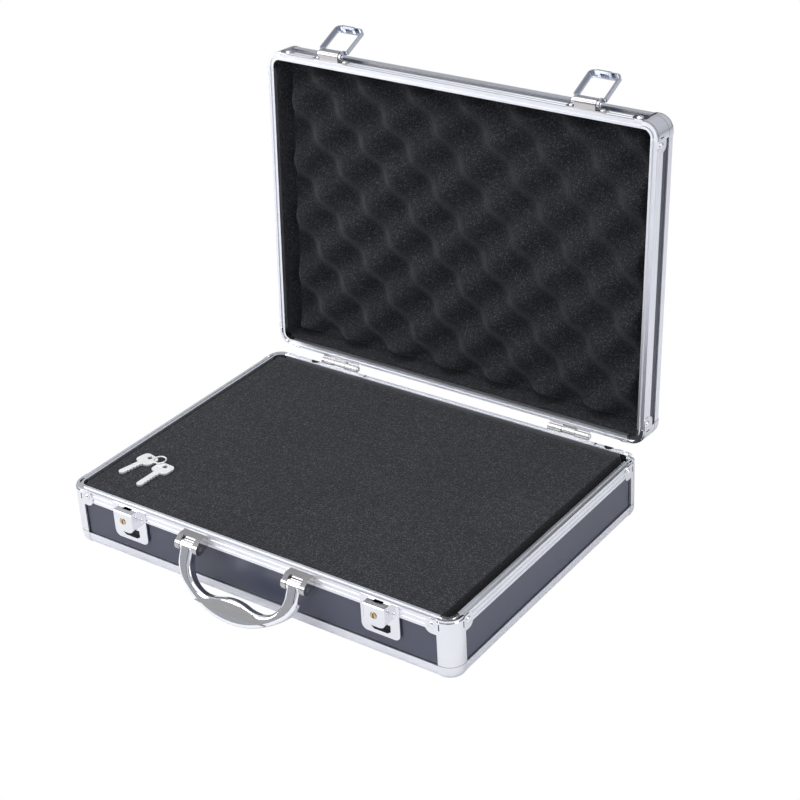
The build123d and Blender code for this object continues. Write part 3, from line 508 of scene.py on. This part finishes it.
def dark_boxes(name, boxes, body, matrix=None):
    """Thin dark marks and painted shade as (centre, size) boxes in mm."""
    points, faces = [], []
    for centre, size in boxes:
        start = len(points)
        for corner in BOX_CORNERS:
            points.append(Vector([c + d * s / 2 for c, d, s in zip(centre, corner, size)]) * MM)
        faces += [tuple(start + k for k in quad) for quad in BOX_FACES]
    made = mesh_object(name, points, faces, marks_and_shade, smooth=False)
    if matrix is not None:
        made.data.transform(matrix)
    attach(made, body)


def corner_slits(middle):
    """Short upright slits in the ears of the corner posts."""
    inset, proud = 11.4, 0.78
    wide, thin, tall = 0.8, 0.12, 5.0
    boxes = []
    for sx in (-1, 1):
        for sy in (-1, 1):
            at_front = (sx * (CASE_W / 2 - inset), sy * (CASE_D / 2 + proud), middle)
            at_side = (sx * (CASE_W / 2 + proud), sy * (CASE_D / 2 - inset), middle)
            boxes += [(at_front, (wide, thin, tall)), (at_side, (thin, wide, tall))]
    return boxes


def rim_marks():
    """Two small T-shaped marks on the back rim of the base."""
    level, thin = BASE_H + MARK_LIFT, 0.04
    boxes = []
    for place in (-81.0, 137.8):
        boxes.append(((place, CASE_D / 2 - 2.2, level), (0.8, 3.6, thin)))
        boxes.append(((place, CASE_D / 2 - 0.7, level), (2.0, 0.7, thin)))
    return boxes


def panel_shade_gaps():
    """Painted shade: dark boxes in the gaps at the foot and ends of the base's side panels, and behind each
    lock's mouth.
    """
    face_y, face_x = CASE_D / 2 - PANEL_RECESS, CASE_W / 2 - PANEL_RECESS
    end_x, end_y = CASE_W / 2 - POST_LEG, CASE_D / 2 - POST_LEG
    thin = 0.1
    foot_z, foot_tall = 10.3, 0.8
    end_z, end_wide, end_tall = 24.5, 0.7, 29.0
    mouth_z, mouth_wide, mouth_tall = 26.2, 16.0, 7.0
    boxes = []
    for side in (-1, 1):
        boxes.append(((0, side * face_y, foot_z), (2 * end_x, thin, foot_tall)))
        boxes.append(((side * face_x, 0, foot_z), (thin, 2 * end_y, foot_tall)))
        boxes.append(((side * LOCK_SPACING / 2, -face_y, mouth_z), (mouth_wide, thin, mouth_tall)))
        for end in (-1, 1):
            boxes.append(((end * end_x, side * face_y, end_z), (end_wide, thin, end_tall)))
            boxes.append(((side * face_x, end * end_y, end_z), (thin, end_wide, end_tall)))
    return boxes


def notch_shade_patches():
    """Painted shade: dark half-moon patches at the rim's top over the two notches in the back rim."""
    radius, steps = 4.1, 16
    middle_y, level = CASE_D / 2 - 0.1, BASE_H + MARK_LIFT
    points, faces = [], []
    for place in (-133.0, 149.5):
        start = len(points)
        for k in range(steps + 1):
            a = math.pi + math.pi * k / steps
            points.append(Vector((place + radius * math.cos(a), middle_y + radius * math.sin(a), level)) * MM)
        faces.append(tuple(range(start, start + steps + 1)))
    made = mesh_object("notch_shade_patches", points, faces, marks_and_shade, smooth=False)
    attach(made, "base")


dark_boxes("base_corner_slits", corner_slits(BASE_H - 6.0), "base")
dark_boxes("lid_corner_slits", corner_slits(LID_RIM + 6.0), "lid", LID)
# Painted shade over the two notches in the back rim
notch_shade_patches()
dark_boxes("rim_marks", rim_marks(), "base")
# Painted shade in the side panels' gaps and behind the lock mouths
dark_boxes("panel_shade_gaps", panel_shade_gaps(), "base")


# Floor, plain white for the camera and clear from below
def floor_white():
    mat, tree, shader = new_material("floor_white")
    shader.inputs["Base Color"].default_value = (0.85, 0.85, 0.87, 1)
    shader.inputs["Roughness"].default_value = 0.9
    path = node(tree, "ShaderNodeLightPath")
    glow = node(tree, "ShaderNodeEmission")
    glow.inputs["Color"].default_value = (1, 1, 1, 1)
    glow.inputs["Strength"].default_value = 1.0
    upper = node(tree, "ShaderNodeMixShader")
    link(tree, path.outputs["Is Camera Ray"], upper.inputs["Fac"])
    link(tree, shader.outputs[0], upper.inputs[1])
    link(tree, glow.outputs[0], upper.inputs[2])
    facing = node(tree, "ShaderNodeNewGeometry")
    clear = node(tree, "ShaderNodeBsdfTransparent")
    both = node(tree, "ShaderNodeMixShader")
    link(tree, facing.outputs["Backfacing"], both.inputs["Fac"])
    link(tree, upper.outputs[0], both.inputs[1])
    link(tree, clear.outputs[0], both.inputs[2])
    link(tree, both.outputs[0], tree.nodes["Material Output"].inputs["Surface"])
    return mat


FLOOR_HALF, FLOOR_LEVEL = 4.0, -0.0004
floor_signs = ((-1, -1), (1, -1), (1, 1), (-1, 1))
floor_corners = [(sx * FLOOR_HALF, sy * FLOOR_HALF, FLOOR_LEVEL) for sx, sy in floor_signs]
floor = mesh_object("floor", floor_corners, [(0, 1, 2, 3)], floor_white(), smooth=False)


# World: white for the camera, otherwise bands of a studio that tilt to one side
def studio_world():
    world = bpy.data.worlds.new("studio")
    bpy.context.scene.world = world
    world.use_nodes = True
    tree = world.node_tree
    background = tree.nodes["Background"]
    axes = split_axes(tree, node(tree, "ShaderNodeTexCoord").outputs["Generated"])
    tilt = node(tree, "ShaderNodeMath", operation="MULTIPLY_ADD")
    link(tree, axes[0], tilt.inputs[0])
    tilt.inputs[1].default_value = 0.35
    link(tree, axes[2], tilt.inputs[2])
    bands = ramp(tree, spread(tree, tilt.outputs[0], 0.0, 1.0), [
        (0.00, (0.55, 0.57, 0.61)), (0.03, (0.05, 0.05, 0.07)), (0.10, (0.04, 0.04, 0.05)),
        (0.16, (0.76, 0.78, 0.84)), (0.37, (0.84, 0.86, 0.92)), (0.43, (0.88, 0.91, 0.98)),
        (0.66, (0.88, 0.91, 0.98)), (0.72, (0.10, 0.10, 0.12)), (0.82, (0.75, 0.78, 0.85)),
        (1.00, (0.9, 0.92, 0.95))])
    link(tree, bands, background.inputs["Color"])
    background.inputs["Strength"].default_value = 0.62
    white = node(tree, "ShaderNodeBackground")
    white.inputs["Color"].default_value = (1, 1, 1, 1)
    white.inputs["Strength"].default_value = 1.0
    path = node(tree, "ShaderNodeLightPath")
    both = node(tree, "ShaderNodeMixShader")
    link(tree, path.outputs["Is Camera Ray"], both.inputs["Fac"])
    link(tree, background.outputs[0], both.inputs[1])
    link(tree, white.outputs[0], both.inputs[2])
    link(tree, both.outputs[0], tree.nodes["World Output"].inputs["Surface"])


def area_light(name, place, target, size_x, size_y, watts):
    data = bpy.data.lights.new(name, "AREA")
    data.shape = "RECTANGLE"
    data.size, data.size_y = size_x, size_y
    data.energy = watts
    made = bpy.data.objects.new(name, data)
    made.location = place
    made.rotation_mode = "QUATERNION"
    made.rotation_quaternion = (Vector(target) - Vector(place)).to_track_quat("-Z", "Y")
    bpy.context.scene.collection.objects.link(made)


studio_world()
area_light("overhead", (-0.2, -0.3, 1.7), (0, 0, 0.05), 1.8, 1.4, 19)
area_light("front_left", (-1.3, -1.3, 0.9), (0, 0, 0.1), 1.0, 1.2, 11)
area_light("right", (1.8, -0.1, 0.9), (0, 0, 0.1), 0.8, 1.2, 6)

# Camera at the photo's angle
AZ, EL, ROLL = math.radians(36.76), math.radians(29.08), math.radians(-3.35)
DISTANCE = 1358.7 * MM
TARGET = Vector((47.2, 0.0, 122.9)) * MM
LENS, SENSOR = 84.16, 36.0


def photo_camera():
    back = Vector((math.sin(AZ) * math.cos(EL), -math.cos(AZ) * math.cos(EL), math.sin(EL)))
    right = Vector((0, 0, 1)).cross(back).normalized()
    up = back.cross(right)
    cam_x = right * math.cos(ROLL) + up * math.sin(ROLL)
    cam_y = up * math.cos(ROLL) - right * math.sin(ROLL)
    data = bpy.data.cameras.new("camera")
    data.sensor_width = SENSOR
    data.lens = LENS
    data.clip_start, data.clip_end = 0.05, 50.0
    camera = bpy.data.objects.new("camera", data)
    axes = Matrix((cam_x, cam_y, back)).transposed().to_4x4()
    camera.matrix_world = Matrix.Translation(TARGET + back * DISTANCE) @ axes
    bpy.context.scene.collection.objects.link(camera)
    bpy.context.scene.camera = camera


photo_camera()
bpy.context.scene.view_settings.view_transform = "Standard"
